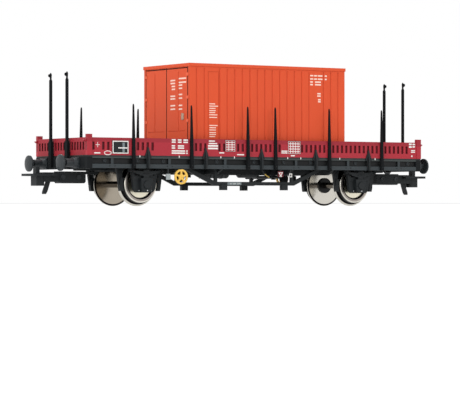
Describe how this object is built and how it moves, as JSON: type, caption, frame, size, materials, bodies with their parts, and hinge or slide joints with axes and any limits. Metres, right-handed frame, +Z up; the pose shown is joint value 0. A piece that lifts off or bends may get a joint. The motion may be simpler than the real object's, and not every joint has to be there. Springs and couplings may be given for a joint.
{
  "type": "model stake wagon with container",
  "caption": "Model flat railway wagon with low ribbed boards, upright stakes, loop couplers, rolling wheels and a lift-off corrugated container.",
  "frame": {"origin": "on the floor under the wagon's middle, at the wheel flanges' lowest points", "axes": "+X along the track to the front end, +Y to the left side, +Z up"},
  "size_m": [0.1496, 0.034, 0.0443],
  "materials": {
    "board_red": "moulded carmine red, satin",
    "frame_black": "moulded near-black grey, matt",
    "container_orange": "moulded orange, satin",
    "deck_planks": "moulded dark brown planks, matt",
    "wheel_nickel": "turned and nickel plated",
    "ballast_steel": "plain rolled plate",
    "bush_black": "moulded black",
    "hand_wheel_yellow": "moulded yellow",
    "label_black": "printed black field in a white line",
    "marker_white": "printed white plate",
    "lock_grey": "moulded, grey tinted"
  },
  "bodies": {
    "wagon": {"air_tank": "frame_black", "axle_boxes_left": "frame_black", "axle_boxes_right": "frame_black", "axle_guards_left": "frame_black", "axle_guards_right": "frame_black", "ballast_plate": "ballast_steel", "board_brackets_left": "frame_black", "board_brackets_right": "frame_black", "brake_beams": "frame_black", "brake_cylinder": "frame_black", "brake_shaft": "frame_black", "brake_shoes": "frame_black", "buffers_front": "frame_black", "buffers_rear": "frame_black", "centre_sills": "frame_black", "coupler_mounts": "frame_black", "cross_members": "frame_black", "deck": "deck_planks", "end_board_front": "board_red", "end_board_rear": "board_red", "end_stakes_front": "frame_black", "end_stakes_rear": "frame_black", "hand_wheels": "hand_wheel_yellow", "headstock_front": "frame_black", "headstock_rear": "frame_black", "label_boards": "label_black", "leaf_springs_left": "frame_black", "leaf_springs_right": "frame_black", "marker_plates": "marker_white", "pull_rods": "frame_black", "side_board_left": "board_red", "side_board_right": "board_red", "side_stakes_left": "frame_black", "side_stakes_right": "frame_black", "sole_bar_left": "frame_black", "sole_bar_right": "frame_black", "truss_left": "frame_black", "truss_right": "frame_black", "underframe_floor": "frame_black"},
    "wheelset_rear": {"axle_rear": "wheel_nickel", "wheel_bush_rear": "bush_black", "wheel_rear_left": "wheel_nickel", "wheel_rear_right": "wheel_nickel"},
    "wheelset_front": {"axle_front": "wheel_nickel", "wheel_bush_front": "bush_black", "wheel_front_left": "wheel_nickel", "wheel_front_right": "wheel_nickel"},
    "coupler_rear": {"coupler_rear": "frame_black"},
    "coupler_loop_rear": {"coupler_loop_rear": "frame_black"},
    "coupler_front": {"coupler_front": "frame_black"},
    "coupler_loop_front": {"coupler_loop_front": "frame_black"},
    "container": {"container_door_frame": "container_orange", "container_door_left": "container_orange", "container_door_right": "container_orange", "container_end": "container_orange", "container_floor": "container_orange", "container_locks": "lock_grey", "container_roof": "container_orange", "container_side_left": "container_orange", "container_side_right": "container_orange"}
  },
  "joints": [
    {"name": "wheelset_rear_roll", "type": "hinge", "parent": "wagon", "child": "wheelset_rear", "pos_m": [-0.04025, 0, 0.00675], "axis": [0, 1, 0], "continuous": true},
    {"name": "coupler_rear_swing", "type": "hinge", "parent": "wagon", "child": "coupler_rear", "pos_m": [-0.052, 0, 0.0116], "axis": [0, 0, 1], "range_deg": [-12, 12]},
    {"name": "coupler_loop_rear_lift", "type": "hinge", "parent": "coupler_rear", "child": "coupler_loop_rear", "pos_m": [-0.0663, 0, 0.0095], "axis": [0, 1, 0], "range_deg": [0, 20]},
    {"name": "wheelset_front_roll", "type": "hinge", "parent": "wagon", "child": "wheelset_front", "pos_m": [0.04025, 0, 0.00675], "axis": [0, 1, 0], "continuous": true},
    {"name": "coupler_front_swing", "type": "hinge", "parent": "wagon", "child": "coupler_front", "pos_m": [0.052, 0, 0.0116], "axis": [0, 0, 1], "range_deg": [-12, 12]},
    {"name": "coupler_loop_front_lift", "type": "hinge", "parent": "coupler_front", "child": "coupler_loop_front", "pos_m": [0.0663, 0, 0.0095], "axis": [0, -1, 0], "range_deg": [0, 20]},
    {"name": "container_lift", "type": "slide", "parent": "wagon", "child": "container", "axis": [0, 0, 1], "range_m": [0, 0.02]}
  ]
}
